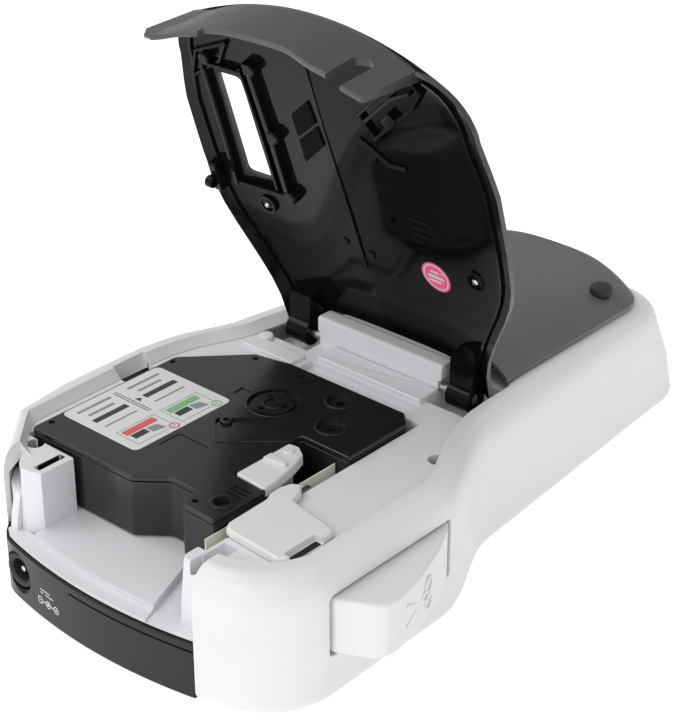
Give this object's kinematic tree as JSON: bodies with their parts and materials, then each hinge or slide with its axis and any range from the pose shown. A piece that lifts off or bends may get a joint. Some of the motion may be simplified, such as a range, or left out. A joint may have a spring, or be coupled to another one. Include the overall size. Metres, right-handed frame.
{
  "type": "label maker",
  "caption": "Handheld label maker lying on its keyboard face, with the tape-cassette lid standing open and a tape cassette fitted.",
  "frame": {"origin": "on the keyboard face, in the plane of symmetry of the case, on the strip between the function keys and the keypad", "axes": "+Z out of the back of the device, up as it lies; -Y towards the head end with the power inlet and the label exit; +Y towards the grip; +X towards the cutter button"},
  "size_m": [0.1314, 0.2157, 0.1476],
  "materials": {
    "white_shell": "fine satin moulded shell",
    "grey_chassis": "satin cool grey moulding",
    "lid_black": "glossy inside, satin outside",
    "panel_dark": "satin dark grey",
    "cassette_black": "glossy black",
    "label_paper": "printed paper label",
    "rubber_black": "matt rubber",
    "foam_black": "soft black foam",
    "clear_window": "clear plastic window",
    "lcd_grey": "unlit liquid crystal display",
    "key_rubber": "matt keypad rubber",
    "key_light": "light grey keys",
    "board_green": "circuit board",
    "steel": "bare steel",
    "cell_jacket": "plain battery jacket",
    "gear_white": "natural acetal",
    "tape_film": "label film"
  },
  "bodies": {
    "case": {"back_case": "white_shell", "end_panel": "panel_dark", "dc_jack": "rubber_black", "front_cover": "white_shell", "display_window": "clear_window", "lcd_module": "lcd_grey", "keypad": "key_rubber", "main_board": "board_green", "chassis": "grey_chassis", "hinge_pin_left": "steel", "hinge_pin_right": "steel", "drive_motor": "steel", "print_head": "gear_white", "heat_sink": "steel", "cutter_housing": "white_shell", "button_pivot_pin": "steel", "battery_contacts_left": "steel", "battery_contacts_right": "steel", "case_screw_1": "steel", "case_screw_2": "steel", "battery_cell_1": "cell_jacket", "battery_cell_2": "cell_jacket", "battery_cell_3": "cell_jacket", "battery_cell_4": "cell_jacket", "battery_cell_5": "cell_jacket", "battery_cell_6": "cell_jacket"},
    "lid": {"cassette_lid": "lid_black", "lid_foot_left": "rubber_black", "lid_foot_right": "rubber_black", "hold_down_pad": "foam_black"},
    "rear_cover": {"battery_cover": "panel_dark", "battery_foot_left": "rubber_black", "battery_foot_right": "rubber_black"},
    "cassette": {"cassette_case": "cassette_black", "cassette_cover": "cassette_black", "cassette_label": "label_paper", "label_tape": "tape_film"},
    "tape_reel": {"tape_spool": "tape_film"},
    "ribbon_reel": {"ribbon_spool": "rubber_black"},
    "takeup_reel": {"takeup_spool": "rubber_black"},
    "pinion": {"motor_pinion": "gear_white"},
    "idler": {"idler_gear": "gear_white"},
    "roller": {"roller_gear": "gear_white", "platen_roller": "rubber_black"},
    "spindle": {"spindle_gear": "gear_white"},
    "lever": {"release_lever": "gear_white"},
    "button": {"cutter_button": "white_shell"},
    "blade": {"cutter_blade": "steel"},
    "key_power": {"power_key": "key_light"},
    "key_print": {"print_key": "key_light"},
    "key_ok": {"ok_key": "key_light"},
    "key_navigation": {"navigation_ring": "key_light"},
    "key_clear": {"clear_key": "key_light"},
    "key_save": {"save_key": "key_light"}
  },
  "joints": [
    {"name": "lid_hinge", "type": "hinge", "parent": "case", "child": "lid", "pos_m": [0, 0.011, 0.038], "axis": [-1, 0, 0], "range_deg": [-72.5, 0]},
    {"name": "rear_cover_lift", "type": "slide", "parent": "case", "child": "rear_cover", "axis": [0, 0, 1], "range_m": [0, 0.03]},
    {"name": "cassette_lift", "type": "slide", "parent": "case", "child": "cassette", "axis": [0, 0, 1], "range_m": [0, 0.04]},
    {"name": "tape_spin", "type": "hinge", "parent": "cassette", "child": "tape_reel", "pos_m": [-0.022, -0.056, 0.022], "axis": [0, 0, 1], "continuous": true},
    {"name": "pinion_spin", "type": "hinge", "parent": "case", "child": "pinion", "pos_m": [0.03472, -0.0405, 0.0124], "axis": [0, 0, 1], "continuous": true},
    {"name": "idler_spin", "type": "hinge", "parent": "case", "child": "idler", "pos_m": [0.022, -0.0405, 0.0124], "axis": [0, 0, 1], "continuous": true},
    {"name": "roller_spin", "type": "hinge", "parent": "case", "child": "roller", "pos_m": [0.0204, -0.05453, 0.0124], "axis": [0, 0, 1], "continuous": true},
    {"name": "spindle_spin", "type": "hinge", "parent": "case", "child": "spindle", "pos_m": [0.01471, -0.0268, 0.0124], "axis": [0, 0, 1], "continuous": true},
    {"name": "takeup_spin", "type": "hinge", "parent": "cassette", "child": "takeup_reel", "pos_m": [0.01471, -0.0268, 0.022], "axis": [0, 0, 1], "continuous": true},
    {"name": "ribbon_spin", "type": "hinge", "parent": "cassette", "child": "ribbon_reel", "pos_m": [-0.003, -0.024, 0.022], "axis": [0, 0, 1], "continuous": true},
    {"name": "lever_swing", "type": "hinge", "parent": "case", "child": "lever", "pos_m": [0.0142, -0.045, 0.021], "axis": [0, 0, 1], "range_deg": [0, 7], "stiffness_Nm_per_rad": 0.05, "springref_deg": -2.86},
    {"name": "button_press", "type": "hinge", "parent": "case", "child": "button", "pos_m": [0.056, -0.0338, 0.0146], "axis": [0, 0, -1], "range_deg": [0, 8], "stiffness_Nm_per_rad": 1, "springref_deg": -5.73},
    {"name": "blade_stroke", "type": "slide", "parent": "case", "child": "blade", "axis": [-1, 0, 0], "range_m": [0, 0.009]},
    {"name": "key_power_press", "type": "slide", "parent": "case", "child": "key_power", "axis": [0, 0, 1], "range_m": [0, 0.0008], "stiffness_N_per_m": 500, "springref_m": -0.0005},
    {"name": "key_print_press", "type": "slide", "parent": "case", "child": "key_print", "axis": [0, 0, 1], "range_m": [0, 0.0008], "stiffness_N_per_m": 500, "springref_m": -0.0005},
    {"name": "key_ok_press", "type": "slide", "parent": "case", "child": "key_ok", "axis": [0, 0, 1], "range_m": [0, 0.0008], "stiffness_N_per_m": 500, "springref_m": -0.0005},
    {"name": "key_navigation_press", "type": "slide", "parent": "case", "child": "key_navigation", "axis": [0, 0, 1], "range_m": [0, 0.0008], "stiffness_N_per_m": 500, "springref_m": -0.0005},
    {"name": "key_clear_press", "type": "slide", "parent": "case", "child": "key_clear", "axis": [0, 0, 1], "range_m": [0, 0.0008], "stiffness_N_per_m": 500, "springref_m": -0.0005},
    {"name": "key_save_press", "type": "slide", "parent": "case", "child": "key_save", "axis": [0, 0, 1], "range_m": [0, 0.0008], "stiffness_N_per_m": 500, "springref_m": -0.0005}
  ],
  "couplings": [
    {"joint": "pinion_spin", "follows": "tape_spin", "ratio": 8.3333},
    {"joint": "idler_spin", "follows": "tape_spin", "ratio": -4.1667},
    {"joint": "roller_spin", "follows": "tape_spin", "ratio": 6.25},
    {"joint": "spindle_spin", "follows": "tape_spin", "ratio": 5},
    {"joint": "takeup_spin", "follows": "tape_spin", "ratio": 5},
    {"joint": "ribbon_spin", "follows": "tape_spin", "ratio": 2.0833},
    {"joint": "blade_stroke", "follows": "button_press", "m_per_rad": 0.06}
  ]
}
